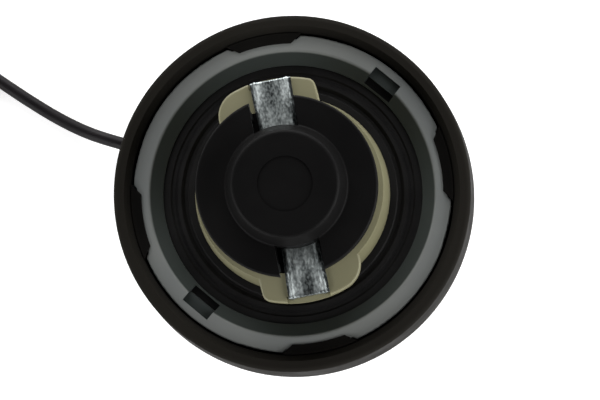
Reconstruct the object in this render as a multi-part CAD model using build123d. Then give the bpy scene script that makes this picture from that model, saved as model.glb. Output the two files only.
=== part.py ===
from build123d import *
from math import cos, pi, radians, sin, tan
import os

# Bayonet fuel filler cap, lying on its crown with the plug upwards.
# The axis of the cap is Z, Z = 0 is the crown's flat land, and the leaf strap
# lies along Y. All sizes are in millimetres and all angles in degrees.

# ---- Clearances and helpers' sizes ----------------------------------------
running_gap = 0.3        # between pieces that turn past each other
seat_gap = 0.15          # between pieces that are pushed together
journal_gap = 0.2        # radial, ring on the plug barrel
spring_play = 0.02       # end of a spring to its seat
over = 1.0               # cutters run past a face by this much
bite = 0.5               # overlap of forms that are fused

# ---- Cover ---------------------------------------------------------------
wall = 2.4               # moulded wall of the cover
inner_wall_r = 33.2      # bore of the inner cylinder that houses the ratchet
inner_wall_t = 1.8
channel = 1.4            # open channel between inner cylinder and rim
rim_width = 3.7
rim_rise = 2.1           # rim above the retaining ring's face
rim_chamfer = 1.5
rim_chamfer_width = 1.3
rim_edge_radius = 1.1
rim_foot = 0.8           # rim's inner face below the retaining ring's seat
skirt_flare = 1.2        # belly radius less rim radius
belly_z = 11.0
belly_bulge_r = 0.33     # where the belly's curve passes, as shares of its
belly_bulge_z = 0.36     # width and its height
finger_depth = 10.6      # depth of each finger pocket
grip_width = 14.0        # grip bar between the two pockets
grip_draft = 4.0
grip_edge_radius = 1.2
groove_depth = 6.8       # belly radius less the tether groove's floor radius
groove_z = 2.8
crown_lip = 1.2          # lip that keeps the tether ring in its groove
crown_chamfer = 1.6
shoulder_width = 2.7     # flat top of the groove before the belly's curve
trough = 3.2             # cored space between pocket wall and outer wall

# ---- Ratchet -------------------------------------------------------------
tooth_count = 36
tooth_depth = 1.3
tooth_steep_share = 0.04  # part of the pitch that the steep side takes
pawl_count = 4
pawl_arm_angle = 58.0
pawl_arm_t = 1.7
pawl_slot = 1.5          # behind each arm, room for it to bend
pawl_gap = 0.45          # arm to the tips of the teeth
pawl_root_angle = 9.0
pawl_nose_start = 0.1    # part of a tooth's pitch that a pawl's nose fills
pawl_nose_end = 0.9
pawl_first_angle = 75.0  # the first pawl's nose is in the tooth nearest to this
ratchet_t = 2.4
window_wall = 1.95       # ring outside its dog windows
window_inner_wall = 3.0  # ring inside them
dog_angle = 40.0         # drive dogs on the plug's flange
lost_motion = 45.0       # free turn of the cover before it drives the plug
stop_play = 0.6          # left at each stop

# ---- Plug ----------------------------------------------------------------
barrel_r = 18.4
barrel_wall = 3.0
flange_t = 2.2
flange_inset = 0.8       # flange edge inside the cover's inner cylinder
shoulder_step = 1.2      # ledge that carries the bayonet ring
deck_t = 2.5
spigot_inset = 1.8       # spigot radius less than the barrel's
spigot_h = 1.8
key_width = 4.0
key_height = 0.9
vent_r = 1.4
vent_margin = 0.4        # vent to the valve seat

# ---- Neck gasket ---------------------------------------------------------
gasket_t = 1.7
gasket_inset = 0.3       # gasket edge inside the flange's
bead_r = 25.7            # sealing bead
bead_h = 0.5
bead_width = 2.2
bead_crest = 0.8         # flat top of the bead
bead_groove = 0.35       # depth of the groove on each side of the bead
bead_groove_floor = 0.6
bead_groove_slope = 0.4

# ---- Bayonet ring --------------------------------------------------------
collar_wall_base = 3.5   # wall of the tapered collar at its lower end
collar_wall_top = 2.15   # and at the lobes
collar_h = 11.2
lobe_reach = 3.0         # lobes beyond the collar's base
lobe_t = 4.1
lobe_start = 67.0        # outer corner of the slanted tail, from +X
lobe_tail_slant = 28.0   # the tail's turn from the radial direction
lobe_end = 128.5         # tapered leading end
lobe_corner = 2.0
lobe_lead_radius = 6.0
lobe_edge_radius = 0.55
lead_ramp = 1.3          # rise of the leading end's cam face
lead_ramp_angle = 23.5
lobe_ledge = 1.45        # outer edge of the lobe beyond the strap's pocket
lobe_root = 4.0          # lobe's form inside the barrel's radius, before it is bored

# ---- Leaf strap ----------------------------------------------------------
strap_t = 0.8
strap_width = 8.4
strap_flare = 0.35       # each side, at the tips
strap_flare_start = 13.5  # distance from the middle
strap_flare_length = 8.0
strap_tip_chamfer = 0.6
strap_hook = 1.3         # depth of the bent end below the strap
strap_bend = 0.95        # outer bend radius as a share of the thickness
strap_channel_gap = 0.9  # the plug's channel is this much wider on each side
strap_side_play = 0.25   # tip to its pocket in the lobe, each side
strap_end_play = 0.45    # hook to the lobe, each end
strap_slid = (0.2, 0.4)  # where the strap lies within its play
strap_hook_play = 0.2    # hook to the pocket's floor

# ---- End cap -------------------------------------------------------------
cap_h = 8.7              # deck to face
cap_overhang = 1.4       # land beyond the barrel, which holds the bayonet ring
cap_land_h = 2.8
cap_wall = 1.7
cap_edge_radius = 0.6
slot_gap = 0.7           # slot to the strap, each side
boss_r = 13.2
boss_h = 4.4
boss_taper = 1.7
boss_edge_radius = 1.1
boss_foot_radius = 0.6
gate_recess_r = 6.0
gate_recess_depth = 0.25
pad_inset = 0.5          # pads that hold the strap, inside its edges
pad_play = 0.1           # pad to the strap

# ---- Valves --------------------------------------------------------------
pressure_spring_r = 8.9
pressure_wire_r = 0.5
pressure_turns = 4.5
spring_gap = 1.2         # spring to the plate's skirt
plate_t = 2.0
plate_skirt = 2.0
plate_skirt_t = 1.0
seal_t = 0.6
seal_width = 3.4
seal_margin = 1.1        # seal inside the plate's edge
seat_width = 1.2
hub_r = 3.8
hub_h = 1.4
stem_r = 1.2
stem_tail = 0.8
flute_r = 0.7            # air flutes along the stem's bore
flute_offset = 0.5       # flute's centre beyond the stem
head_r = 5.0
head_t = 0.8
head_edge_radius = 0.3
vacuum_seal_t = 0.5
vacuum_seal_inset = 0.2
vacuum_travel = 0.7
vacuum_play = 0.2        # open head to the deck
clip_r = 3.0
clip_t = 0.8
clip_slot = 0.6
clip_slot_depth = 0.9
vacuum_spring_r = 2.3
vacuum_wire_r = 0.2
vacuum_spring_h = 2.5
vacuum_turns = 3.5
retainer_t = 1.5
retainer_inset = 0.2     # retainer inside the barrel's lower end
retainer_play = 0.05
retainer_hole_r = 2.4
retainer_hole_count = 6
retainer_bead = 0.35
retainer_bead_h = 0.3    # half height of the snap bead
retainer_bead_play = 0.1
locator_h = 0.9
locator_wall = 1.0

# ---- Retaining ring ------------------------------------------------------
funnel_width = 3.8       # inner cylinder's bore to the funnel's small end
funnel_slope = 3.0       # width of the funnel wall
funnel_h = 2.4
funnel_lip = 0.3
funnel_edge_radius = 0.7
ring_flange_t = 1.6
ring_edge_radius = 0.35
lobe_overhang = 0.9      # ring lobes beyond the inner cylinder
recess_root_angle = 24.4
recess_mouth_angle = 26.8
recess_corner = 0.8
window_angle = 39.8
window_width = 7.2
window_depth = 1.0
window_outer_inset = 1.0
window_inner_inset = 0.4
window_hole_length = 1.7

# ---- Snap hooks ----------------------------------------------------------
hook_stand_off = 0.25    # hook to the inner cylinder
hook_rim_gap = 0.15      # hook to the rim
hook_play = 0.05         # nose to the retaining ring
hook_nose = 1.25
hook_nose_edge = 0.3
hook_top_rise = 0.9      # hook's outer edge above the ring's face

# ---- Tether --------------------------------------------------------------
cord_r = 1.5
tether_band_t = 2.6
tether_band_h = 3.4
tether_band_radius = 0.5
tether_boss_width = 7.6
tether_boss_h = 4.2
tether_boss_z = 1.9
tether_boss_inset = 0.3  # boss end inside the belly
tether_boss_corner = 1.2
tether_boss_chamfer = 0.5
tether_angle = 151.1
coil_centre = (-89.1, 39.9)
coil_start = 46.8        # where the lead runs into the coil, about its centre
coil_rise = 70.0         # last part of the first turn, where the cord climbs
coil_extra = 135.0       # part of a second turn, lying on the first
coil_turn_r = 18.0
anchor_pad_length = 10.0
anchor_pad_width = 7.0
anchor_pad_t = 3.6
anchor_pad_radius = 0.6
anchor_stud_r = 2.2
anchor_stud_h = 2.6
anchor_stud_inset = 0.4
anchor_barb_r = 2.9
anchor_barb_h = 2.8
anchor_barb_edge = 0.4
anchor_barb_tip_r = 1.3
anchor_slit = 0.9
anchor_slit_rise = 1.0   # solid foot of the split stud

# Points of the tether's lead, from the tether ring to the coil.
lead_route = [
    (-35.9, 19.8, 4.0),
    (-41.0, 22.3, 3.5),
    (-46.7, 25.6, 2.1),
    (-52.7, 30.1, 1.5),
    (-58.4, 35.2, 1.5),
    (-64.0, 40.6, 1.5),
    (-69.3, 45.9, 1.5),
    (-74.1, 50.5, 1.5),
    (-76.8, 53.0, 1.5),
]

# ---- Levels worked out from the sizes above --------------------------------
floor_z = finger_depth + wall
ratchet_z = floor_z + running_gap
ratchet_top_z = ratchet_z + ratchet_t
flange_z = ratchet_top_z + running_gap
flange_top_z = flange_z + flange_t
gasket_top_z = flange_top_z + gasket_t
shoulder_z = gasket_top_z + bead_h
deck_z = shoulder_z + collar_h
strap_top_z = deck_z + strap_t
cap_z = deck_z + cap_h
boss_z = cap_z + boss_h
lip_z = gasket_top_z + running_gap
ring_face_z = lip_z + funnel_lip + funnel_h
ledge_z = ring_face_z - ring_flange_t
rim_z = ring_face_z + rim_rise
groove_top_z = groove_z + tether_band_h + 2 * running_gap
channel_z = groove_top_z + wall

deck_low_z = deck_z - deck_t
seat_h = head_t + vacuum_seal_t + vacuum_travel + vacuum_play - seal_t
seal_top_z = deck_low_z - seat_h
plate_z = seal_top_z - seal_t
plate_low_z = plate_z - plate_t
hub_low_z = plate_low_z - hub_h
clip_z = hub_low_z - vacuum_spring_h
retainer_z = floor_z + running_gap + retainer_inset
retainer_top_z = retainer_z + retainer_t

# ---- Radii worked out from the sizes above ---------------------------------
inner_wall_out_r = inner_wall_r + inner_wall_t
rim_inner_r = inner_wall_out_r + channel
rim_r = rim_inner_r + rim_width
belly_r = rim_r + skirt_flare
groove_r = belly_r - groove_depth
lip_r = groove_r + crown_lip
trough_r = groove_r - wall
drum_r = trough_r - trough
pocket_r = drum_r - wall
tooth_tip_r = inner_wall_r - tooth_depth
arm_out_r = tooth_tip_r - pawl_gap
arm_in_r = arm_out_r - pawl_arm_t
web_r = arm_in_r - pawl_slot
dog_outer_r = web_r - window_wall - running_gap
dog_inner_r = barrel_r + running_gap + window_inner_wall + running_gap
flange_r = inner_wall_r - flange_inset
funnel_inner_r = inner_wall_r - funnel_width
flange_edge_r = funnel_inner_r + funnel_slope
ring_lobe_r = inner_wall_out_r + lobe_overhang
hook_in_r = inner_wall_out_r + hook_stand_off
ring_root_r = hook_in_r - seat_gap
chamber_r = barrel_r - barrel_wall
shoulder_r = barrel_r + shoulder_step
spigot_r = barrel_r - spigot_inset
cap_r = barrel_r + cap_overhang
ratchet_bore_r = barrel_r + running_gap
ring_bore_r = barrel_r + journal_gap
collar_base_r = ring_bore_r + collar_wall_base
collar_top_r = ring_bore_r + collar_wall_top
lobe_r = collar_base_r + lobe_reach
strap_tip_width = strap_width + 2 * strap_flare
strap_hook_r = lobe_r - lobe_ledge
strap_end = strap_hook_r + strap_t
plate_r = pressure_spring_r + pressure_wire_r + spring_gap + plate_skirt_t
seat_r = plate_r - seal_margin - seal_width / 2
flute_reach = stem_r + flute_offset + flute_r
tether_band_r = groove_r + running_gap


def polar(radius, angle):
    """Point in the XY plane at an angle in degrees."""
    return (radius * cos(radians(angle)), radius * sin(radians(angle)))


def turned(points):
    """Solid turned about Z from a closed outline of (radius, z) points."""
    outline = make_face(Polyline(*[(r, 0, z) for r, z in points], close=True))
    return revolve(outline, Axis.Z)


def tube(outer, inner, low, high):
    """Plain ring about Z between two levels."""
    return turned([(inner, low), (outer, low), (outer, high), (inner, high)])


def disc(radius, low, high, x=0.0, y=0.0):
    """Cylinder about a line parallel to Z between two levels."""
    return Pos(x, y, (low + high) / 2) * Cylinder(radius, high - low)


def block(x, y, low, high, centre_x=0.0, centre_y=0.0):
    """Box between two levels, centred at a point."""
    return Pos(centre_x, centre_y, (low + high) / 2) * Box(x, y, high - low)


def sector(outer, inner, start, end, low, high):
    """Part of a ring about Z between two angles and two levels."""
    middle = (start + end) / 2
    outline = [
        Line(polar(inner, start), polar(outer, start)),
        ThreePointArc(polar(outer, start), polar(outer, middle), polar(outer, end)),
        Line(polar(outer, end), polar(inner, end)),
        ThreePointArc(polar(inner, end), polar(inner, middle), polar(inner, start)),
    ]
    return Pos(0, 0, low) * extrude(make_face(outline), high - low)


def reach_of(edge):
    """Furthest distance of an edge from Z."""
    return max(Vector((edge @ t).X, (edge @ t).Y).length for t in (0, 0.25, 0.5, 0.75, 1))


def edges_at(shape, z, radius=None):
    """Edges in a level plane, all of them or those that reach out to a radius."""
    level = shape.edges().filter_by_position(Axis.Z, z - 0.01, z + 0.01)
    if radius is None:
        return level
    return [edge for edge in level if abs(reach_of(edge) - radius) < 0.1]


# ---- Cover ---------------------------------------------------------------
def finger_pocket(side):
    """One finger pocket, open at the crown, with drafted walls."""
    grip_side = Pos(-side * (pocket_r - grip_width / 2), 0) * Rectangle(2 * pocket_r, 3 * pocket_r)
    return extrude(Circle(pocket_r) - grip_side, finger_depth, taper=grip_draft)


def outer_cover():
    skirt_inner_r = belly_r - wall
    belly_start = (groove_r + shoulder_width, groove_top_z)
    belly_end = (belly_r, belly_z)
    belly_mid = (
        belly_r - belly_bulge_r * (belly_end[0] - belly_start[0]),
        groove_top_z + belly_bulge_z * (belly_z - groove_top_z),
    )
    crown_side = [
        (0, 0),
        (lip_r - crown_chamfer, 0),
        (lip_r, crown_chamfer),
        (lip_r, groove_z),
        (groove_r, groove_z),
        (groove_r, groove_top_z),
        belly_start,
    ]
    plug_side = [
        belly_end,
        (rim_r, rim_z),
        (rim_inner_r + rim_chamfer_width, rim_z),
        (rim_inner_r, rim_z - rim_chamfer),
        (rim_inner_r, ledge_z - rim_foot),
        (skirt_inner_r, belly_z + wall / 2),
        (skirt_inner_r - wall, channel_z),
        (inner_wall_out_r, channel_z),
        (inner_wall_out_r, ledge_z),
        (inner_wall_r, ledge_z),
        (inner_wall_r, channel_z),
        (trough_r, channel_z - (inner_wall_r - trough_r)),
        (trough_r, wall),
        (drum_r, wall),
        (drum_r, floor_z),
        (0, floor_z),
        (0, 0),
    ]
    lines = [
        Polyline(*[(r, 0, z) for r, z in crown_side]),
        ThreePointArc(*[(r, 0, z) for r, z in (belly_start, belly_mid, belly_end)]),
        Polyline(*[(r, 0, z) for r, z in plug_side]),
    ]
    body = revolve(make_face(lines), Axis.Z)
    body = fillet(edges_at(body, rim_z, rim_r), rim_edge_radius)

    for side in (1, -1):
        body -= finger_pocket(side)
    pocket_mouths = [e for e in edges_at(body, 0) if reach_of(e) < pocket_r + over / 2]
    body = fillet(pocket_mouths, grip_edge_radius)

    grip_core = block(grip_width - 2 * wall, 4 * pocket_r, wall, floor_z + over)
    body -= grip_core & disc(pocket_r, 0, floor_z + 2 * over)

    body += ratchet_teeth()
    for quarter in range(4):
        body += Rot(0, 0, 90 * quarter) * snap_hook()
    return body


def ratchet_teeth():
    """Saw teeth inside the inner cylinder: steep faces stop the pawls one way."""
    pitch = 360 / tooth_count
    steep = tooth_steep_share * pitch
    points = []
    for i in range(tooth_count):
        points.append(polar(tooth_tip_r, i * pitch))
        points.append(polar(inner_wall_r, (i + 1) * pitch - steep))
    ring = Circle(inner_wall_r + inner_wall_t / 2) - make_face(Polyline(*points, close=True))
    return Pos(0, 0, floor_z) * extrude(ring, flange_z - running_gap - floor_z)


def recess_wedge(gap):
    """Plan of the retaining ring's recess about +X, its two ends drawn in by a gap."""
    root = Vector(*polar(ring_root_r, recess_root_angle / 2))
    mouth = Vector(*polar(ring_lobe_r, recess_mouth_angle / 2))
    along = (mouth - root).normalized()
    inset = Vector(along.Y, -along.X) * gap
    low = root + inset - along * (2 * hook_nose)
    high = mouth + inset + along * (3 * channel)
    return make_face(Polyline(
        (low.X, low.Y), (high.X, high.Y), (high.X, -high.Y), (low.X, -low.Y), close=True,
    ))


def snap_hook():
    """Sprung hook at +X that fills a recess of the retaining ring."""
    post_out = rim_inner_r - hook_rim_gap
    nose_z = ring_face_z + hook_play
    foot_z = channel_z - bite
    hook = turned([
        (hook_in_r, foot_z),
        (post_out, foot_z),
        (post_out, ring_face_z + hook_top_rise),
        (hook_in_r - hook_nose, nose_z + hook_nose_edge),
        (hook_in_r - hook_nose, nose_z),
        (hook_in_r, nose_z),
    ])
    plan = extrude(recess_wedge(seat_gap), rim_z - foot_z)
    return hook & (Pos(0, 0, foot_z) * plan)


# ---- Retaining ring ------------------------------------------------------
def retaining_ring():
    spigot_out_r = inner_wall_r - seat_gap
    body = turned([
        (funnel_inner_r, lip_z),
        (spigot_out_r, lip_z),
        (spigot_out_r, ledge_z),
        (ring_lobe_r + over, ledge_z),
        (ring_lobe_r + over, ring_face_z),
        (flange_edge_r, ring_face_z),
        (funnel_inner_r, lip_z + funnel_lip),
    ])
    body = fillet(edges_at(body, ring_face_z, flange_edge_r), funnel_edge_radius)

    plan = Circle(ring_lobe_r)
    root_disc = Rot(0, 0, 180) * Circle(ring_root_r)
    for quarter in range(4):
        plan -= Rot(0, 0, 90 * quarter) * (recess_wedge(0) - root_disc)
    plan = fillet(plan.vertices(), recess_corner)
    body &= Pos(0, 0, lip_z) * extrude(plan, ring_face_z - lip_z)
    rim_edges = [e for e in edges_at(body, ring_face_z) if reach_of(e) > inner_wall_r]
    body = fillet(rim_edges, ring_edge_radius)

    notch_out = ring_root_r - window_outer_inset
    hole_in = funnel_inner_r + window_inner_inset
    hole_out = hole_in + window_hole_length
    notch_z = ring_face_z - window_depth
    top = ring_face_z + over
    notch = block(notch_out - hole_in, window_width, notch_z, top, (notch_out + hole_in) / 2)
    hole = block(window_hole_length, window_width, lip_z - over, top, (hole_in + hole_out) / 2)
    for angle in (window_angle, window_angle + 180):
        body -= Rot(0, 0, angle) * (notch + hole)
    return body


# ---- Ratchet ring --------------------------------------------------------
def ratchet_ring():
    body = tube(web_r, ratchet_bore_r, ratchet_z, ratchet_top_z)

    window_start = -dog_angle / 2 - lost_motion - stop_play
    window_end = dog_angle / 2 + stop_play
    for half in (0, 180):
        body -= sector(
            dog_outer_r + running_gap, dog_inner_r - running_gap,
            half + window_start, half + window_end, ratchet_z - over, ratchet_top_z + over,
        )

    pitch = 360 / tooth_count
    ramp_gain = tooth_depth / ((1 - tooth_steep_share) * pitch)
    nose_start = pawl_nose_start * pitch
    nose_end = pawl_nose_end * pitch
    nose = make_face(Polyline(
        polar(arm_out_r - bite, nose_start),
        polar(tooth_tip_r + ramp_gain * nose_start - seat_gap, nose_start),
        polar(tooth_tip_r + ramp_gain * nose_end - seat_gap, nose_end),
        polar(arm_out_r - bite, nose_end),
        close=True,
    ))
    tip = Pos(0, 0, ratchet_z) * extrude(nose, ratchet_t)
    arm_start = nose_end - pawl_arm_angle
    arm = sector(arm_out_r, arm_in_r, arm_start, nose_end, ratchet_z, ratchet_top_z)
    root = sector(
        arm_out_r, web_r - bite, arm_start - pawl_root_angle, arm_start, ratchet_z, ratchet_top_z,
    )
    first = pitch * round(pawl_first_angle / pitch)
    for i in range(pawl_count):
        body += Rot(0, 0, first + 360 / pawl_count * i) * (arm + root + tip)
    return body


# ---- Plug body -----------------------------------------------------------
def plug_body():
    bottom_z = floor_z + running_gap
    spigot_z = deck_z + spigot_h
    body = turned([
        (chamber_r, bottom_z),
        (barrel_r, bottom_z),
        (barrel_r, flange_z),
        (flange_r, flange_z),
        (flange_r, flange_top_z),
        (shoulder_r, flange_top_z),
        (shoulder_r, shoulder_z),
        (barrel_r, shoulder_z),
        (barrel_r, deck_z),
        (spigot_r, deck_z),
        (spigot_r, spigot_z),
        (0, spigot_z),
        (0, deck_low_z),
        (chamber_r, deck_low_z),
    ])
    body += tube(seat_r + seat_width / 2, seat_r - seat_width / 2, seal_top_z, deck_low_z)
    key = block(2 * (barrel_r + key_height), key_width, shoulder_z, deck_z)
    body += key - disc(chamber_r + barrel_wall / 2, 0, deck_z + over)
    body -= block(strap_width + 2 * strap_channel_gap, 3 * barrel_r, deck_z, spigot_z + over)
    vent_x = seat_r - seat_width / 2 - vent_margin - vent_r
    for side in (1, -1):
        body -= disc(vent_r, deck_low_z - over, spigot_z + over, side * vent_x, 0)
    body -= retainer_groove()

    for half in (0, 180):
        body += sector(
            dog_outer_r, dog_inner_r, half - dog_angle / 2, half + dog_angle / 2,
            ratchet_z + running_gap, flange_z + bite,
        )
    return body


def retainer_groove():
    """Groove in the barrel's bore that the spring retainer snaps into."""
    middle = (retainer_z + retainer_top_z) / 2
    half = retainer_bead_h + retainer_bead_play
    return turned([
        (chamber_r - bite, middle - half),
        (chamber_r, middle - half),
        (chamber_r + retainer_bead + retainer_bead_play, middle),
        (chamber_r, middle + half),
        (chamber_r - bite, middle + half),
    ])


# ---- Neck gasket ---------------------------------------------------------
def neck_gasket():
    outer = flange_r - gasket_inset
    foot = bead_width / 2
    floor = foot + bead_groove_floor
    edge = floor + bead_groove_slope
    groove_floor_z = gasket_top_z - bead_groove
    return turned([
        (shoulder_r, flange_top_z),
        (outer, flange_top_z),
        (outer, gasket_top_z),
        (bead_r + edge, gasket_top_z),
        (bead_r + floor, groove_floor_z),
        (bead_r + foot, groove_floor_z),
        (bead_r + bead_crest / 2, shoulder_z),
        (bead_r - bead_crest / 2, shoulder_z),
        (bead_r - foot, groove_floor_z),
        (bead_r - floor, groove_floor_z),
        (bead_r - edge, gasket_top_z),
        (shoulder_r, gasket_top_z),
    ])


# ---- Bayonet ring --------------------------------------------------------
def corner_of(face, x, y):
    """The face's corner at a point."""
    return [v for v in face.vertices() if Vector(v.X - x, v.Y - y).length < 0.01]


def bayonet_lobe():
    """One lobe, at its place about +Y, with a slanted tail and a long lead."""
    low = deck_z - lobe_t
    start = polar(lobe_r, lobe_start)
    end = polar(lobe_r, lobe_end)
    crest = polar(lobe_r, (lobe_start + lobe_end) / 2)
    root_r = barrel_r - lobe_root
    tail_run = polar(lobe_r - root_r, lobe_start + 180 + lobe_tail_slant)
    tail = (start[0] + tail_run[0], start[1] + tail_run[1])
    face = make_face([
        ThreePointArc(start, crest, end),
        Line(end, polar(root_r, lobe_end)),
        Line(polar(root_r, lobe_end), tail),
        Line(tail, start),
    ])
    face = fillet(corner_of(face, *start), lobe_corner)
    face = fillet(corner_of(face, *end), lobe_lead_radius)
    lobe = Pos(0, 0, low) * extrude(face, lobe_t)
    outer_edges = [e for e in edges_at(lobe, deck_z) if reach_of(e) > collar_base_r]
    lobe = fillet(outer_edges, lobe_edge_radius)

    ramp_length = lobe_r * radians(lead_ramp_angle)
    slope = Plane(
        origin=(*end, low + lead_ramp),
        x_dir=Vector(*polar(1, lobe_end)),
        z_dir=Vector(*polar(lead_ramp / ramp_length, lobe_end + 90), -1),
    )
    wedge = extrude(slope * Rectangle(3 * lobe_r, 3 * lobe_r), 2 * lobe_t)
    lead = sector(
        lobe_r + over, root_r - over, lobe_end - 2 * lead_ramp_angle, lobe_end + lead_ramp_angle,
        low - over, deck_z,
    )
    return lobe - (wedge & lead)


def bayonet_ring():
    collar = turned([
        (ring_bore_r, shoulder_z),
        (collar_base_r, shoulder_z),
        (collar_top_r, deck_z),
        (ring_bore_r, deck_z),
    ])
    lobe = bayonet_lobe() - disc(ring_bore_r, 0, deck_z + over)
    body = collar + lobe + Rot(0, 0, 180) * lobe
    keyway_reach = barrel_r + key_height + journal_gap
    body -= block(2 * keyway_reach, key_width + 2 * journal_gap, shoulder_z - over, deck_z + over)
    pocket_start = strap_hook_r - strap_end_play
    pocket_length = lobe_r + over - pocket_start
    for side in (1, -1):
        body -= block(
            strap_tip_width + 2 * strap_side_play, pocket_length,
            deck_z - strap_hook - strap_hook_play, deck_z + over,
            0, side * (pocket_start + pocket_length / 2),
        )
    return body


# ---- Leaf strap ----------------------------------------------------------
def leaf_strap():
    """Flat spring-steel strap with flared ends hooked down over the lobes."""
    hook_z = deck_z - strap_hook
    side = make_face(Polyline(
        (0, -strap_end, hook_z),
        (0, -strap_end, strap_top_z),
        (0, strap_end, strap_top_z),
        (0, strap_end, hook_z),
        (0, strap_hook_r, hook_z),
        (0, strap_hook_r, deck_z),
        (0, -strap_hook_r, deck_z),
        (0, -strap_hook_r, hook_z),
        close=True,
    ))
    bent = extrude(side, strap_tip_width, both=True)
    bends = edges_at(bent, strap_top_z).filter_by(Axis.X)
    bent = fillet(bends, strap_bend * strap_t)

    half = strap_width / 2
    tip = strap_tip_width / 2
    flare_end = strap_flare_start + strap_flare_length
    corner = strap_end - strap_tip_chamfer
    beyond = strap_end + over
    narrow = tip - strap_tip_chamfer - over
    tip_plan = make_face(Polyline(
        (half, strap_flare_start),
        (tip, flare_end),
        (tip, corner),
        (narrow, beyond),
        (-narrow, beyond),
        (-tip, corner),
        (-tip, flare_end),
        (-half, strap_flare_start),
        close=True,
    ))
    plan = Rectangle(strap_width, 2 * strap_flare_start) + tip_plan + Rot(0, 0, 180) * tip_plan
    strap = bent & (Pos(0, 0, hook_z - over) * extrude(plan, strap_hook + strap_t + 2 * over))
    return Pos(*strap_slid, 0) * strap


# ---- End cap -------------------------------------------------------------
def end_cap():
    skirt_in = spigot_r + seat_gap
    boss_top_r = boss_r - boss_taper
    inner_boss_r = boss_r - cap_wall
    foot_z = deck_z + spigot_h + seat_gap
    pad_z = strap_top_z + pad_play
    body = turned([
        (skirt_in, deck_z),
        (barrel_r, deck_z),
        (barrel_r, cap_z - cap_land_h),
        (cap_r, cap_z - cap_land_h),
        (cap_r, cap_z),
        (boss_r, cap_z),
        (boss_top_r, boss_z),
        (gate_recess_r, boss_z),
        (gate_recess_r, boss_z - gate_recess_depth),
        (0, boss_z - gate_recess_depth),
        (0, boss_z - cap_wall - gate_recess_depth),
        (boss_top_r - cap_wall, boss_z - cap_wall),
        (inner_boss_r, cap_z),
        (inner_boss_r, foot_z),
        (boss_r, foot_z),
        (boss_r, cap_z - cap_wall),
        (skirt_in, cap_z - cap_wall),
    ])
    body = fillet(edges_at(body, cap_z, cap_r), cap_edge_radius)
    body = fillet(edges_at(body, boss_z, boss_top_r), boss_edge_radius)
    body = fillet(edges_at(body, cap_z, boss_r), boss_foot_radius)

    slots = block(strap_width + 2 * slot_gap, 4 * cap_r, deck_z - over, cap_z + over)
    body -= slots - disc(boss_r, 0, boss_z + over)
    pads = block(strap_width - 2 * pad_inset, 3 * boss_r, pad_z, foot_z + bite)
    return body + (tube(boss_r, inner_boss_r, pad_z, foot_z + bite) & pads)


# ---- Valves --------------------------------------------------------------
def pressure_plate():
    top = plate_z + over
    low = hub_low_z - over
    body = disc(plate_r, plate_low_z, plate_z)
    body += tube(plate_r, plate_r - plate_skirt_t, plate_low_z - plate_skirt, plate_low_z + bite)
    body += disc(hub_r, hub_low_z, plate_low_z + bite)
    body -= disc(stem_r + running_gap, low, top)
    for i in range(3):
        body -= disc(flute_r, low, top, *polar(stem_r + flute_offset, 120 * i))
    return body


def valve_seal():
    return tube(seat_r + seal_width / 2, seat_r - seal_width / 2, plate_z, seal_top_z)


def vacuum_seal():
    inner = flute_reach + seat_gap
    return tube(head_r - vacuum_seal_inset, inner, plate_z, plate_z + vacuum_seal_t)


def vacuum_valve():
    head_z = plate_z + vacuum_seal_t
    head = disc(head_r, head_z, head_z + head_t)
    stem = disc(stem_r, clip_z - clip_t - stem_tail, head_z + head_t / 2)
    return fillet(edges_at(head + stem, head_z + head_t, head_r), head_edge_radius)


def stem_clip():
    body = tube(clip_r, stem_r, clip_z - clip_t, clip_z)
    slot_length = 2 * (stem_r + clip_slot_depth)
    for angle in (45, 135):
        body -= Rot(0, 0, angle) * block(clip_slot, slot_length, clip_z - clip_t - over, clip_z + over)
    return body


def coil_spring(mean_r, wire_r, turns, low, high):
    """Helical spring between two levels, the wire just inside both."""
    height = high - low - 2 * wire_r
    path = Pos(0, 0, low + wire_r) * Helix(pitch=height / turns, height=height, radius=mean_r)
    section = Plane(origin=path @ 0, z_dir=path % 0) * Circle(wire_r)
    return sweep(section, path, is_frenet=True)


def pressure_spring():
    return coil_spring(
        pressure_spring_r, pressure_wire_r, pressure_turns, retainer_top_z, plate_low_z - spring_play,
    )


def vacuum_spring():
    return coil_spring(vacuum_spring_r, vacuum_wire_r, vacuum_turns, clip_z + spring_play, hub_low_z)


def spring_retainer():
    edge = chamber_r - retainer_play
    middle = (retainer_z + retainer_top_z) / 2
    locator_r = pressure_spring_r - pressure_wire_r - running_gap
    locator_z = retainer_top_z + locator_h
    body = turned([
        (0, retainer_z),
        (edge, retainer_z),
        (edge, middle - retainer_bead_h),
        (edge + retainer_bead, middle),
        (edge, middle + retainer_bead_h),
        (edge, retainer_top_z),
        (locator_r, retainer_top_z),
        (locator_r, locator_z),
        (locator_r - locator_wall, locator_z),
        (locator_r - locator_wall, retainer_top_z),
        (0, retainer_top_z),
    ])
    body -= disc(clip_r, retainer_z - over, retainer_top_z + over)
    hole_ring_r = (edge + pressure_spring_r + pressure_wire_r) / 2
    for i in range(retainer_hole_count):
        hole_at = polar(hole_ring_r, 360 / retainer_hole_count * i)
        body -= disc(retainer_hole_r, retainer_z - over, retainer_top_z + over, *hole_at)
    return body


# ---- Tether --------------------------------------------------------------
def tether_ring():
    low = groove_z + running_gap
    high = low + tether_band_h
    outer = tether_band_r + tether_band_t
    band = tube(outer, tether_band_r, low, high)
    for level in (low, high):
        band = fillet(edges_at(band, level, outer), tether_band_radius)
    boss_end = belly_r - tether_boss_inset
    boss_start = tether_band_r + tether_band_t / 2
    boss = block(
        boss_end - boss_start, tether_boss_width, tether_boss_z, tether_boss_z + tether_boss_h,
        (boss_start + boss_end) / 2,
    )
    boss = fillet(boss.edges().filter_by(Axis.X), tether_boss_corner)
    boss = chamfer(boss.faces().sort_by(Axis.X)[-1].edges(), tether_boss_chamfer)
    return band + Rot(0, 0, tether_angle) * boss


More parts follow.
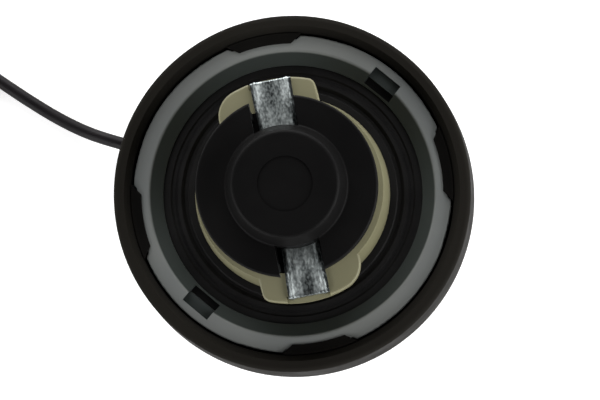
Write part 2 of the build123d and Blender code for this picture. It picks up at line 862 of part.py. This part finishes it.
def cord_tube(points):
    """Round tube along straight runs joined by the largest tangent arcs."""
    vectors = [Vector(*p) for p in points]
    radii = []
    for a, b, c in zip(vectors, vectors[1:], vectors[2:]):
        turn = (b - a).get_angle(c - b)
        shorter = min((b - a).length, (c - b).length)
        radii.append(0.45 * shorter / tan(radians(turn) / 2))
    path = FilletPolyline(*points, radius=radii)
    section = Plane(origin=path @ 0, z_dir=path % 0) * Circle(cord_r)
    solid = sweep(section, path)
    print("cord radii", [round(r, 1) for r in radii])
    print("cord volume", round(solid.volume, 2), "section x length", round(pi * cord_r ** 2 * path.length, 2))
    return solid


def tether_coil():
    """Outer shape of the coiled tether: one turn, and part of one on top."""
    outer = coil_turn_r + cord_r
    inner = coil_turn_r - cord_r
    second_start = coil_start - coil_rise / 2
    second_end = coil_start + coil_extra
    body = tube(outer, inner, 0, 4 * cord_r)
    body -= sector(
        outer + over, inner - over, second_end, second_start + 360, 2 * cord_r, 4 * cord_r + over,
    )
    return Pos(*coil_centre, 0) * body


def tether_anchor():
    """Push-in anchor on the coil: a pad that the cord enters, with a split stud."""
    end_angle = coil_start + coil_extra
    x, y = polar(coil_turn_r, end_angle)
    radius = anchor_pad_width / 2
    length = anchor_pad_length
    pad = Pos(length / 2, 0) * SlotOverall(length, anchor_pad_width)
    square = Pos(radius / 2, 0) * Rectangle(radius, anchor_pad_width)
    body = extrude(pad + square, anchor_pad_t)
    body = fillet(body.edges().group_by(Axis.Z)[-1], anchor_pad_radius)
    stud_x = length - radius - anchor_stud_inset
    stud_top = anchor_pad_t + anchor_stud_h
    tip_z = stud_top + anchor_barb_h
    stud = disc(anchor_stud_r, anchor_pad_t - bite, stud_top, stud_x)
    barb = Pos(stud_x, 0, 0) * turned([
        (0, stud_top),
        (anchor_barb_r, stud_top),
        (anchor_barb_r, stud_top + anchor_barb_edge),
        (anchor_barb_tip_r, tip_z),
        (0, tip_z),
    ])
    slit = block(anchor_slit, 3 * anchor_barb_r, anchor_pad_t + anchor_slit_rise, tip_z + over, stud_x)
    body += stud + barb - slit
    return Pos(coil_centre[0] + x, coil_centre[1] + y, 2 * cord_r) * Rot(0, 0, end_angle + 90) * body


nodes = {
    "outer_cover": outer_cover,
    "retaining_ring": retaining_ring,
    "ratchet_ring": ratchet_ring,
    "plug_body": plug_body,
    "neck_gasket": neck_gasket,
    "bayonet_ring": bayonet_ring,
    "leaf_strap": leaf_strap,
    "end_cap": end_cap,
    "pressure_plate": pressure_plate,
    "valve_seal": valve_seal,
    "pressure_spring": pressure_spring,
    "spring_retainer": spring_retainer,
    "vacuum_valve": vacuum_valve,
    "vacuum_seal": vacuum_seal,
    "vacuum_spring": vacuum_spring,
    "stem_clip": stem_clip,
    "tether_ring": tether_ring,
    "tether_lead": lambda: cord_tube(lead_route),
    "tether_coil": tether_coil,
    "tether_anchor": tether_anchor,
}

os.makedirs("parts", exist_ok=True)
for name, build in nodes.items():
    export_step(build(), f"parts/{name}.step")
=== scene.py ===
import bmesh
import bpy
from math import cos, exp, pi, radians, sin
from mathutils import Matrix, Vector


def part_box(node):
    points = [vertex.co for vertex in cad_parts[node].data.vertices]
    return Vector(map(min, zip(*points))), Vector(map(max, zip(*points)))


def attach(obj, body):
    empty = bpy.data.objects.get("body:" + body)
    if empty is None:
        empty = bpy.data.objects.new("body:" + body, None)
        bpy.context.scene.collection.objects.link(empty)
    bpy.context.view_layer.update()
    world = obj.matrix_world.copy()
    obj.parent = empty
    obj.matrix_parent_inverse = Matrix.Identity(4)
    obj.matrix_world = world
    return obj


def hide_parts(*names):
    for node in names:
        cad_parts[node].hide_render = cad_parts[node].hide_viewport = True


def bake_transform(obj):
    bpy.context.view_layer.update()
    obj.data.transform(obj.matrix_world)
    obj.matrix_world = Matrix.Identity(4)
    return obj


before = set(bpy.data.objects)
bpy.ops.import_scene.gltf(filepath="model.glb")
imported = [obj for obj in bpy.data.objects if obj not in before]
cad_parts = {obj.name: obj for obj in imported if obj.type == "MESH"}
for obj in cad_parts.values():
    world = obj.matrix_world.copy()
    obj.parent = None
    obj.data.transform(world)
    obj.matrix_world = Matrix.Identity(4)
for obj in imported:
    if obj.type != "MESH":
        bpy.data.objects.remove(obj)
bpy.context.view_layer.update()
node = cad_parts


# ---- Camera -----------------------------------------------------------------
# The cap lies on a table with its plug up. The camera hangs over it, a little
# to the front right, so that the plug leans away towards the back left.
rim_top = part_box("outer_cover")[1].z
camera_distance = 0.420      # from the rim, along the line of sight
camera_tilt = radians(6.3)
camera_side = radians(-65.6)  # direction in plan in which the camera stands off
camera_up = radians(79.6)     # direction in plan that is up in the picture
rim_centre_right = -0.00201   # where the rim's centre lies in the picture's plane
rim_centre_up = 0.00178

camera_data = bpy.data.cameras.new("camera")
camera_data.sensor_width = 36.0
camera_data.lens = 112.6
camera_data.clip_start = 0.02
camera_data.clip_end = 20.0
camera = bpy.data.objects.new("camera", camera_data)
bpy.context.scene.collection.objects.link(camera)
backwards = Vector((
    sin(camera_tilt) * cos(camera_side),
    sin(camera_tilt) * sin(camera_side),
    cos(camera_tilt),
))
up = Vector((cos(camera_up), sin(camera_up), 0.0))
up = (up - backwards * up.dot(backwards)).normalized()
right = up.cross(backwards)
rim_centre = Vector((0, 0, rim_top)) - right * rim_centre_right - up * rim_centre_up
camera.matrix_world = (
    Matrix.Translation(rim_centre + backwards * camera_distance)
    @ Matrix((right, up, backwards)).transposed().to_4x4()
)
bpy.context.scene.camera = camera


# ---- Tether cord --------------------------------------------------------------
# A solid round cord of black rubber, 3 mm thick, that leaves the boss of the
# swivel ring and lies on the table. Its unseen length is put away in a flat
# coil of one turn and three eighths, with the push-in anchor on top.
cord_r = 0.0015
cord_route = [
    (-0.0359, 0.0198, 0.0040),
    (-0.0410, 0.0223, 0.0035),
    (-0.0467, 0.0256, 0.0021),
    (-0.0527, 0.0301, 0.0015),
    (-0.0584, 0.0352, 0.0015),
    (-0.0640, 0.0406, 0.0015),
    (-0.0693, 0.0459, 0.0015),
    (-0.0741, 0.0505, 0.0015),
    (-0.0768, 0.0530, 0.0015),
]
coil_centre = (-0.0891, 0.0399)
coil_r = 0.018
coil_start = 46.8
coil_climb = 70.0            # last part of the first turn, where the cord climbs
coil_end = 360.0 + 135.0
coil_steps = 22
for i in range(1, coil_steps + 1):
    turned = coil_end * i / coil_steps
    climbed = min(max((turned - 360.0 + coil_climb) / coil_climb, 0.0), 1.0)
    angle = radians(coil_start + turned)
    cord_route.append((
        coil_centre[0] + coil_r * cos(angle),
        coil_centre[1] + coil_r * sin(angle),
        cord_r * (1 + 2 * climbed),
    ))

cord_curve = bpy.data.curves.new("tether_cord", "CURVE")
cord_curve.dimensions = "3D"
cord_curve.bevel_depth = 1.0     # times each point's radius
cord_curve.bevel_resolution = 6
cord_curve.resolution_u = 10
cord_curve.use_fill_caps = True
line = cord_curve.splines.new("NURBS")
line.points.add(len(cord_route) - 1)
for point, place in zip(line.points, cord_route):
    point.co = (*place, 1.0)
    point.radius = cord_r
line.order_u = 3
line.use_endpoint_u = True
cord = bpy.data.objects.new("tether_cord", cord_curve)
bpy.context.scene.collection.objects.link(cord)
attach(cord, "tether")
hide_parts("tether_lead", "tether_coil")


def new_finish(name, colour, roughness, specular=0.5, metallic=0.0):
    """A material with its shader's plain values set."""
    finish = bpy.data.materials.new(name)
    finish.use_nodes = True
    shader = finish.node_tree.nodes["Principled BSDF"]
    shader.inputs["Base Color"].default_value = (*colour, 1.0)
    shader.inputs["Roughness"].default_value = roughness
    shader.inputs["Specular IOR Level"].default_value = specular
    shader.inputs["Metallic"].default_value = metallic
    return finish


def put(finish, kind, settings=(), **values):
    """A node of a kind, with its settings and the values of its sockets."""
    made = finish.node_tree.nodes.new("ShaderNode" + kind)
    for key, value in dict(settings).items():
        setattr(made, key, value)
    for key, value in values.items():
        made.inputs[key.replace("_", " ")].default_value = value
    return made


def wire(finish, *steps):
    """Joins each (node, socket) with the next (node, socket)."""
    for (source, out), (target, into) in zip(steps[::2], steps[1::2]):
        finish.node_tree.links.new(source.outputs[out], target.inputs[into])


def clouds(finish, size, detail=3.0, stretch=(1, 1, 1)):
    """Noise on the piece's own coordinates; its patches are about size metres wide."""
    place = put(finish, "TexCoord")
    scaled = put(finish, "Mapping", Scale=stretch)
    noise = put(finish, "TexNoise", Scale=0.5 / size, Detail=detail)
    wire(finish, (place, "Object"), (scaled, "Vector"), (scaled, "Vector"), (noise, "Vector"))
    return noise


def mottle(finish, colour, other, size, low=0.35, high=0.65, stretch=(1, 1, 1)):
    """The base colour drifts between two shades in soft patches."""
    noise = clouds(finish, size, stretch=stretch)
    ramp = put(finish, "ValToRGB")
    ramp.color_ramp.elements[0].position = low
    ramp.color_ramp.elements[0].color = (*colour, 1)
    ramp.color_ramp.elements[1].position = high
    ramp.color_ramp.elements[1].color = (*other, 1)
    shader = finish.node_tree.nodes["Principled BSDF"]
    wire(finish, (noise, "Fac"), (ramp, "Fac"), (ramp, "Color"), (shader, "Base Color"))
    return ramp


def sheen_drift(finish, size, dull, bright, stretch=(1, 1, 1)):
    """The roughness drifts between two values in soft patches."""
    noise = clouds(finish, size, stretch=stretch)
    drift = put(finish, "MapRange", From_Min=0.3, From_Max=0.7, To_Min=bright, To_Max=dull)
    shader = finish.node_tree.nodes["Principled BSDF"]
    wire(finish, (noise, "Fac"), (drift, "Value"), (drift, "Result"), (shader, "Roughness"))


def add_bump(finish, pattern, depth, strength):
    """A pattern as bump, added to what is there already."""
    bump = put(finish, "Bump", Strength=strength, Distance=depth)
    shader = finish.node_tree.nodes["Principled BSDF"]
    before = shader.inputs["Normal"].links
    if before:
        finish.node_tree.links.new(before[0].from_socket, bump.inputs["Normal"])
    wire(finish, (pattern, "Fac"), (bump, "Height"), (bump, "Normal"), (shader, "Normal"))


def grain(finish, size, depth, strength=1.0, detail=2.0, stretch=(1, 1, 1)):
    """Fine moulded or drawn texture."""
    add_bump(finish, clouds(finish, size, detail=detail, stretch=stretch), depth, strength)


def wear(finish, *names):
    """Gives carried-over pieces their finish."""
    for name in names:
        node[name].data.materials.clear()
        node[name].data.materials.append(finish)


tether_rubber = new_finish("tether_rubber", (0.0075, 0.0062, 0.0072), 0.5, specular=0.12)
mottle(tether_rubber, (0.0065, 0.0054, 0.0062), (0.0090, 0.0074, 0.0086), 0.004)
sheen_drift(tether_rubber, 0.003, 0.6, 0.42)
grain(tether_rubber, 0.00012, 0.00002, strength=0.5)
cord_curve.materials.append(tether_rubber)


# ---- Tether ring and anchor ------------------------------------------------------
# The swivel ring is moulded from flexible black plastic and turns in the groove
# under the grip's skirt. The anchor is moulded on the cord's far end; its split
# stud is pushed into a hole beside the filler neck.
tether_plastic = new_finish("tether_plastic", (0.010, 0.0095, 0.0095), 0.45, specular=0.35)
mottle(tether_plastic, (0.0085, 0.008, 0.008), (0.013, 0.012, 0.012), 0.006)
sheen_drift(tether_plastic, 0.005, 0.55, 0.4)
grain(tether_plastic, 0.0002, 0.00002, strength=0.6)
wear(tether_plastic, "tether_ring", "tether_anchor")


# ---- Outer cover ---------------------------------------------------------------
# The grip, moulded in one piece from black glass-filled nylon, with the saw teeth
# of the ratchet and four snap hooks inside. Its outside has a fine spark-eroded
# texture, a little paler and browner where hands and dust reach the rim.
nylon = (0.0042, 0.0040, 0.0038)
nylon_pale = (0.0058, 0.0054, 0.0049)
rim_dust = (0.0145, 0.0133, 0.0112)
dust_from = 0.0355           # distance from the axis where the dust starts
dust_to = 0.0380

cover_black = new_finish("cover_black", nylon, 0.5, specular=0.012)
cover_shade = mottle(cover_black, nylon, nylon_pale, 0.007)
sheen_drift(cover_black, 0.004, 0.6, 0.46)
grain(cover_black, 0.00025, 0.00003, strength=0.7, detail=4.0)


def reach_of_axis(finish, low, high):
    """0 to 1 as a point's distance from the cap's axis goes from low to high."""
    place = put(finish, "TexCoord")
    flat = put(finish, "VectorMath", {"operation": "MULTIPLY"})
    flat.inputs[1].default_value = (1, 1, 0)
    reach = put(finish, "VectorMath", {"operation": "LENGTH"})
    share = put(finish, "MapRange", {"interpolation_type": "SMOOTHSTEP"}, From_Min=low, From_Max=high)
    wire(
        finish, (place, "Object"), (flat, 0), (flat, "Vector"), (reach, 0),
        (reach, "Value"), (share, "Value"),
    )
    return share


def tint(finish, source, share, colour, most=1.0):
    """Mixes a second colour into the base colour by a share."""
    strength = put(finish, "Math", {"operation": "MULTIPLY"})
    strength.inputs[1].default_value = most
    blend = put(finish, "Mix", {"data_type": "RGBA"})
    shader = finish.node_tree.nodes["Principled BSDF"]
    tree = finish.node_tree
    tree.links.new(share.outputs[0], strength.inputs[0])
    tree.links.new(strength.outputs[0], blend.inputs["Factor"])
    tree.links.new(source.outputs[0], blend.inputs[6])
    blend.inputs[7].default_value = (*colour, 1)
    tree.links.new(blend.outputs[2], shader.inputs["Base Color"])


tint(cover_black, cover_shade, reach_of_axis(cover_black, dust_from, dust_to), rim_dust, most=0.8)
wear(cover_black, "outer_cover")


# ---- Retaining ring -------------------------------------------------------------
# Moulded from grey acetal and snapped into the cover over the plug's flange. Its
# funnel guides the filler neck; two windows let the mould's core form the catches.
ring_grey = new_finish("ring_grey", (0.155, 0.163, 0.160), 0.45, specular=0.3)
ring_shade = mottle(ring_grey, (0.145, 0.154, 0.152), (0.163, 0.170, 0.163), 0.012)
funnel_painted_shade = (0.022, 0.027, 0.026)
ring_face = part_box("retaining_ring")[1].z
shade_from = 0.00006         # depth under the ring's face where the painted shade starts
shade_to = 0.0004


def depth_below(finish, level, start, end):
    """0 to 1 as a point's depth under a level goes from start to end."""
    place = put(finish, "TexCoord")
    split = put(finish, "SeparateXYZ")
    share = put(
        finish, "MapRange", {"interpolation_type": "SMOOTHSTEP"},
        From_Min=level - end, From_Max=level - start, To_Min=1.0, To_Max=0.0,
    )
    wire(finish, (place, "Object"), (split, "Vector"), (split, "Z"), (share, "Value"))
    return share


# Painted shade: the grey darkens with depth under the ring's face, over the funnel wall, the window
# floors and the edges.
tint(ring_grey, ring_shade, depth_below(ring_grey, ring_face, shade_from, shade_to), funnel_painted_shade)
sheen_drift(ring_grey, 0.006, 0.55, 0.4)
grain(ring_grey, 0.0002, 0.00001, strength=0.5)
wear(ring_grey, "retaining_ring")


# ---- Ratchet ring ---------------------------------------------------------------
# Moulded from acetal, which slides well; its four sprung pawls click over the
# cover's teeth once the cap is tight. It is dark here, though its slot is named white.
ratchet_white = new_finish("ratchet_white", (0.03, 0.03, 0.029), 0.5)
mottle(ratchet_white, (0.026, 0.026, 0.025), (0.034, 0.034, 0.032), 0.006)
sheen_drift(ratchet_white, 0.004, 0.55, 0.42)
grain(ratchet_white, 0.0002, 0.00001, strength=0.5)
wear(ratchet_white, "ratchet_ring")


# ---- Plug body and end cap --------------------------------------------------------
# Black glass-filled nylon. The body carries the gasket and the valves, and the end
# cap is pressed and welded on it, over the strap. The flat faces keep faint marks
# of the mould's turned inserts.
plug_black = new_finish("plug_black", (0.0040, 0.0039, 0.0040), 0.48, specular=0.05)
mottle(plug_black, (0.0036, 0.0035, 0.0036), (0.0047, 0.0045, 0.0045), 0.006)
sheen_drift(plug_black, 0.005, 0.54, 0.44)
grain(plug_black, 0.0003, 0.00001, strength=0.5)


def turning_marks(finish, pitch, depth, strength):
    """Rings about the cap's axis, as a turned tool leaves them."""
    place = put(finish, "TexCoord")
    rings = put(
        finish, "TexWave", {"wave_type": "RINGS", "rings_direction": "Z"},
        Scale=2 * pi / (20 * pitch), Distortion=0.6, Detail=2.0, Detail_Scale=3.0,
    )
    wire(finish, (place, "Object"), (rings, "Vector"))
    add_bump(finish, rings, depth, strength)


turning_marks(plug_black, 0.0009, 0.000008, 0.4)
wear(plug_black, "plug_body", "end_cap")


# ---- Neck gasket -----------------------------------------------------------------
# A flat ring of black nitrile rubber with a moulded sealing bead, stretched over
# the plug's shoulder.
gasket_rubber = new_finish("gasket_rubber", (0.0046, 0.0044, 0.0045), 0.5, specular=0.2)
mottle(gasket_rubber, (0.0040, 0.0038, 0.0039), (0.0056, 0.0053, 0.0055), 0.005)
sheen_drift(gasket_rubber, 0.004, 0.6, 0.45)
turning_marks(gasket_rubber, 0.0006, 0.00001, 0.5)
grain(gasket_rubber, 0.00015, 0.00001, strength=0.5)
wear(gasket_rubber, "neck_gasket")


# ---- Bayonet ring ------------------------------------------------------------------
# Moulded from cream acetal. It slides on the barrel's two keys, and its lobes draw
# the cap down under the filler neck's ramps.
bayonet_cream = new_finish("bayonet_cream", (0.194, 0.184, 0.111), 0.4, specular=0.3)
mottle(bayonet_cream, (0.181, 0.172, 0.101), (0.206, 0.196, 0.121), 0.008)
sheen_drift(bayonet_cream, 0.005, 0.5, 0.36)
grain(bayonet_cream, 0.00025, 0.00001, strength=0.5)
wear(bayonet_cream, "bayonet_ring")


# ---- Leaf strap ------------------------------------------------------------------
# Spring steel, stamped, bent down at both ends and bright zinc plated. A ridge runs
# along each edge, and the ends have a stamped hollow between two feet. They clip
# over the lobes and pull the bayonet ring towards the plug's deck.
strap_low, strap_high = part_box("leaf_strap")
strap_mid_x = (strap_low.x + strap_high.x) / 2
strap_t = 0.00045
strap_face = strap_high.z
strap_half = 0.0042
strap_tip_half = (strap_high.x - strap_low.x) / 2
flare_from = 0.0135
flare_to = 0.0215
ridge_inset = 0.0010         # each ridge's crest, from the strap's edge
ridge_width = 0.00042
ridge_rise = 0.00016
hollow_from = 0.0165         # the stamped hollow at each end, from the middle
hollow_full = 0.0225
hollow_width = 0.0014
hollow_depth = 0.00018
fold_x = 0.0014              # soft folds beside the middle
fold_width = 0.0007
fold_share = 0.6             # of the way from the hollow face up to the ridges
edge_fall = 0.00006          # how far the face drops outside a ridge
edge_rounding = 0.00012
plain_frost_and_sheen = 0.49           # how frosted the plating is where nothing is formed, and how light its painted sheen is there
hook_frost_and_sheen_loss = 0.8        # share of it that is gone round the bend, which also paints the bend darker
foot_x = 0.0027
foot_width = 0.0009
bend_r = 0.0006
strap_rows = 110
strap_columns = 56


def rise_between(value, low, high):
    """0 to 1, smoothly, as a value goes from low to high."""
    share = min(max((value - low) / (high - low), 0.0), 1.0)
    return share * share * (3 - 2 * share)


def hump(value, middle, width):
    """1 at the middle, falling to nothing on both sides."""
    return exp(-(((value - middle) / width) ** 2))


def half_width(along):
    """Half the strap's width at a distance from its middle."""
    flare = min(max((along - flare_from) / (flare_to - flare_from), 0.0), 1.0)
    return strap_half + (strap_tip_half - strap_half) * flare


def strap_surface(across, along):
    """How far the face lies below the ridges, and how frosted its plating is. The same share paints the
    plating lighter on the folds, ridges and feet and darker in the hollow and outside the ridges.
    """
    edge = half_width(along) - abs(across)
    ridge = hump(edge, ridge_inset, ridge_width)
    outside = 1.0 - rise_between(edge, 0.0, ridge_inset)
    hollow = hump(across, 0.0, hollow_width) * rise_between(along, hollow_from, hollow_full)
    fold = hump(abs(across), fold_x, fold_width) * (1 - rise_between(along, hollow_from, hollow_full))
    fall = ridge_rise * (1 - ridge) * (1 - fold_share * fold) + edge_fall * outside
    fall = max(fall, hollow_depth * hollow)
    foot = hump(abs(across), foot_x, foot_width) * rise_between(along, hollow_from, hollow_full)
    # Painted highlights and shade: folds, ridges and feet lighter, the hollow and the strip outside each
    # ridge darker.
    frosted_and_lit = plain_frost_and_sheen + 0.16 * fold + 0.10 * ridge + 0.32 * foot - 0.20 * hollow - 0.6 * outside
    return fall, min(max(frosted_and_lit, 0.0), 1.0)


strap_zinc = new_finish("strap_zinc", (0.60, 0.64, 0.635), 0.3, metallic=1.0)


def strap_piece(name, side, tip):
    """One half of the strap, from its middle to its hooked end."""
    form = bmesh.new()
    bmesh.ops.create_grid(form, x_segments=strap_columns, y_segments=strap_rows, size=1.0)
    frost_and_sheen = form.verts.layers.float.new("frost_and_sheen")
    arc = bend_r * pi / 2
    hook_drop = strap_high.z - strap_low.z - bend_r
    flat_run = tip - bend_r
    for vertex in form.verts:
        along = (1 + side * vertex.co.y) / 2 * (flat_run + arc + hook_drop)
        across = vertex.co.x * half_width(min(along, flat_run))
        fall, frosted_and_lit = strap_surface(across, min(along, flat_run))
        bent = rise_between(along, flat_run - bend_r, flat_run + bend_r)
        vertex[frost_and_sheen] = frosted_and_lit * (1 - hook_frost_and_sheen_loss * bent)
        turn = min(max(along - flat_run, 0.0), arc) / bend_r
        reach = min(along, flat_run) + bend_r * sin(turn) - fall * sin(turn)
        drop = bend_r * (1 - cos(turn)) + max(along - flat_run - arc, 0.0) + fall * cos(turn)
        vertex.co = (strap_mid_x + across, side * reach, strap_face - drop)
    mesh = bpy.data.meshes.new(name)
    form.to_mesh(mesh)
    form.free()
    mesh.materials.append(strap_zinc)
    for face in mesh.polygons:
        face.use_smooth = True
    piece = bpy.data.objects.new(name, mesh)
    bpy.context.scene.collection.objects.link(piece)
    thickness = piece.modifiers.new("thickness", "SOLIDIFY")
    thickness.thickness = strap_t
    thickness.offset = -1.0
    rounding = piece.modifiers.new("rounding", "BEVEL")
    rounding.width = edge_rounding
    rounding.segments = 2
    rounding.limit_method = "ANGLE"
    graph = bpy.context.evaluated_depsgraph_get()
    finished = bpy.data.meshes.new_from_object(piece.evaluated_get(graph))
    piece.modifiers.clear()
    piece.data = finished
    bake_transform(piece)
    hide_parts("leaf_strap")


strap_piece("strap_front", -1, -strap_low.y)
strap_piece("strap_back", 1, strap_high.y)

strap_shader = strap_zinc.node_tree.nodes["Principled BSDF"]
frost_and_sheen = put(strap_zinc, "Attribute", {"attribute_name": "frost_and_sheen"})
streaks = clouds(strap_zinc, 0.0008, detail=2.0, stretch=(1, 0.25, 1))
specks = clouds(strap_zinc, 0.00024, detail=1.0, stretch=(1, 0.6, 1))
streak_share = put(strap_zinc, "MapRange", From_Min=0.35, From_Max=0.65, To_Min=-0.16, To_Max=0.16)
speck_share = put(strap_zinc, "MapRange", From_Min=0.35, From_Max=0.65, To_Min=-0.22, To_Max=0.22)
patchy = put(strap_zinc, "Math", {"operation": "ADD"})
mixed = put(strap_zinc, "Math", {"operation": "ADD"})
wire(
    strap_zinc, (streaks, "Fac"), (streak_share, "Value"), (streak_share, "Result"), (patchy, 0),
    (specks, "Fac"), (speck_share, "Value"), (speck_share, "Result"), (patchy, 1),
    (patchy, "Value"), (mixed, 0), (frost_and_sheen, "Fac"), (mixed, 1),
)
dullness = put(strap_zinc, "MapRange", To_Min=0.30, To_Max=0.56)
# The share, with its streaks and specks, also sets the plating's colour: painted highlights and glints
# where it is high, painted shade where it is low.
plating_painted_sheen = put(strap_zinc, "ValToRGB")
plating_painted_sheen.color_ramp.elements[0].color = (0.12, 0.132, 0.134, 1)
plating_painted_sheen.color_ramp.elements[1].color = (0.80, 0.86, 0.85, 1)
plating_painted_sheen.color_ramp.elements.new(0.4).color = (0.40, 0.445, 0.445, 1)
wire(
    strap_zinc, (mixed, "Value"), (dullness, "Value"), (dullness, "Result"), (strap_shader, "Roughness"),
    (mixed, "Value"), (plating_painted_sheen, "Fac"), (plating_painted_sheen, "Color"), (strap_shader, "Base Color"),
)
grain(strap_zinc, 0.00022, 0.00006, strength=0.8, detail=1.0, stretch=(1, 0.5, 1))
grain(strap_zinc, 0.0011, 0.00008, strength=0.5, stretch=(1, 0.3, 1))
wear(strap_zinc, "leaf_strap")


# ---- Valves ----------------------------------------------------------------------
# Inside the barrel: a pressure valve and, in its middle, a small vacuum valve, both
# of natural acetal with nitrile seals, and stainless wire springs. A snapped-in
# retainer holds them; a push-on steel clip holds the vacuum valve's stem.
valve_white = new_finish("valve_white", (0.58, 0.57, 0.53), 0.45)
mottle(valve_white, (0.55, 0.54, 0.50), (0.61, 0.60, 0.56), 0.004)
sheen_drift(valve_white, 0.004, 0.52, 0.4)
grain(valve_white, 0.0002, 0.00001, strength=0.5)
wear(valve_white, "pressure_plate", "spring_retainer", "vacuum_valve")

seal_rubber = new_finish("seal_rubber", (0.010, 0.010, 0.010), 0.6, specular=0.35)
mottle(seal_rubber, (0.008, 0.008, 0.008), (0.013, 0.013, 0.013), 0.003)
sheen_drift(seal_rubber, 0.003, 0.68, 0.52)
grain(seal_rubber, 0.00015, 0.00001, strength=0.5)
wear(seal_rubber, "valve_seal", "vacuum_seal")

spring_steel = new_finish("spring_steel", (0.50, 0.50, 0.51), 0.28, metallic=1.0)
mottle(spring_steel, (0.44, 0.44, 0.45), (0.56, 0.56, 0.57), 0.002)
sheen_drift(spring_steel, 0.002, 0.36, 0.22)
grain(spring_steel, 0.0001, 0.00001, strength=0.6)
wear(spring_steel, "pressure_spring", "vacuum_spring", "stem_clip")


def spring_piece(name, source):
    """A wound spring in steel, copied from its part with doubled points merged, its faces smoothed and
    the part hidden.
    """
    form = bmesh.new()
    form.from_mesh(node[source].data)
    form.transform(node[source].matrix_world)
    bmesh.ops.remove_doubles(form, verts=form.verts, dist=0.0000005)
    bmesh.ops.recalc_face_normals(form, faces=form.faces)
    mesh = bpy.data.meshes.new(name)
    form.to_mesh(mesh)
    form.free()
    mesh.materials.append(spring_steel)
    for face in mesh.polygons:
        face.material_index = 0
        face.use_smooth = True
    piece = bpy.data.objects.new(name, mesh)
    bpy.context.scene.collection.objects.link(piece)
    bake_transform(piece)
    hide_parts(source)


spring_piece(
    "pressure_coil", "pressure_spring",
)
spring_piece(
    "vacuum_coil", "vacuum_spring",
)


# ---- Table and light ----------------------------------------------------------
# A white table in a white room. The tent that lights the cap is brighter at its
# sides than overhead, and a lens or a gloss sees the room itself as white.
table_size = 3.0
table_glow = 0.65             # what the camera and gloss see added to the table's white
room_white = 1.0
room_top = 0.10              # the darker ceiling that a gloss sees
room_top_from = 0.20         # height, as the sine of the angle, where the ceiling starts
tent_side = 0.25
tent_top = 0.08
tent_top_from = 0.9          # height, as a sine, above which the tent is at its darkest
lamp_aim = Vector((0, 0, 0.02))

floor_data = bpy.data.meshes.new("floor")
floor_form = bmesh.new()
bmesh.ops.create_grid(floor_form, x_segments=1, y_segments=1, size=table_size)
floor_form.to_mesh(floor_data)
floor_form.free()
floor = bpy.data.objects.new("floor", floor_data)
bpy.context.scene.collection.objects.link(floor)
table_white = new_finish("table_white", (0.8, 0.8, 0.8), 0.9)
table_shader = table_white.node_tree.nodes["Principled BSDF"]
table_shader.inputs["Emission Color"].default_value = (1, 1, 1, 1)
path = put(table_white, "LightPath")
glow = put(table_white, "Math", {"operation": "MULTIPLY"})
glow.inputs[1].default_value = table_glow
seen = put(table_white, "Math", {"operation": "MAXIMUM"})
seen_through = put(table_white, "Math", {"operation": "MAXIMUM"})
wire(
    table_white, (path, "Is Camera Ray"), (seen, 0), (path, "Is Glossy Ray"), (seen, 1),
    (seen, 0), (seen_through, 0), (path, "Is Transmission Ray"), (seen_through, 1),
    (seen_through, 0), (glow, 0), (glow, 0), (table_shader, "Emission Strength"),
)
floor_data.materials.append(table_white)


def grey(level):
    """A neutral colour."""
    return (level, level, level, 1)


world = bpy.data.worlds.new("tent")
bpy.context.scene.world = world
world.use_nodes = True
background = world.node_tree.nodes["Background"]
direction = put(world, "TexCoord")
split = put(world, "SeparateXYZ")
ramp = put(world, "ValToRGB")
ramp.color_ramp.elements[0].color = grey(tent_side)
ramp.color_ramp.elements[1].position = tent_top_from
ramp.color_ramp.elements[1].color = grey(tent_top)
room = put(world, "ValToRGB")
room.color_ramp.elements[0].color = grey(room_white)
room.color_ramp.elements[1].position = room_top_from
room.color_ramp.elements[1].color = grey(room_top)
ray = put(world, "LightPath")
reflected = put(world, "Math", {"operation": "MAXIMUM"})
gloss_view = put(world, "Mix", {"data_type": "RGBA"})
lens_view = put(world, "Mix", {"data_type": "RGBA"})
lens_view.inputs[7].default_value = grey(room_white)
wire(
    world, (direction, "Generated"), (split, "Vector"), (split, "Z"), (ramp, "Fac"),
    (split, "Z"), (room, "Fac"), (ramp, "Color"), (gloss_view, 6), (room, "Color"), (gloss_view, 7),
    (ray, "Is Glossy Ray"), (reflected, 0), (ray, "Is Transmission Ray"), (reflected, 1),
    (reflected, 0), (gloss_view, 0), (gloss_view, 2), (lens_view, 6),
    (ray, "Is Camera Ray"), (lens_view, 0), (lens_view, 2), (background, "Color"),
)


def lamp(name, azimuth, elevation, power, distance=1.0, width=1.2, height=0.6):
    """A wide soft lamp that looks at the cap."""
    data = bpy.data.lights.new(name, "AREA")
    data.shape = "RECTANGLE"
    data.size = width
    data.size_y = height
    data.energy = power
    made = bpy.data.objects.new(name, data)
    bpy.context.scene.collection.objects.link(made)
    level = distance * cos(radians(elevation))
    made.location = (
        level * cos(radians(azimuth)), level * sin(radians(azimuth)), distance * sin(radians(elevation)),
    )
    made.rotation_euler = (lamp_aim - made.location).to_track_quat("-Z", "Y").to_euler()


lamp("lamp_right", 334, 21, 14.5)
lamp("lamp_back", 86, 21, 15.5)
lamp("lamp_left", 210, 22, 10.5)
bpy.context.scene.view_settings.view_transform = "Standard"
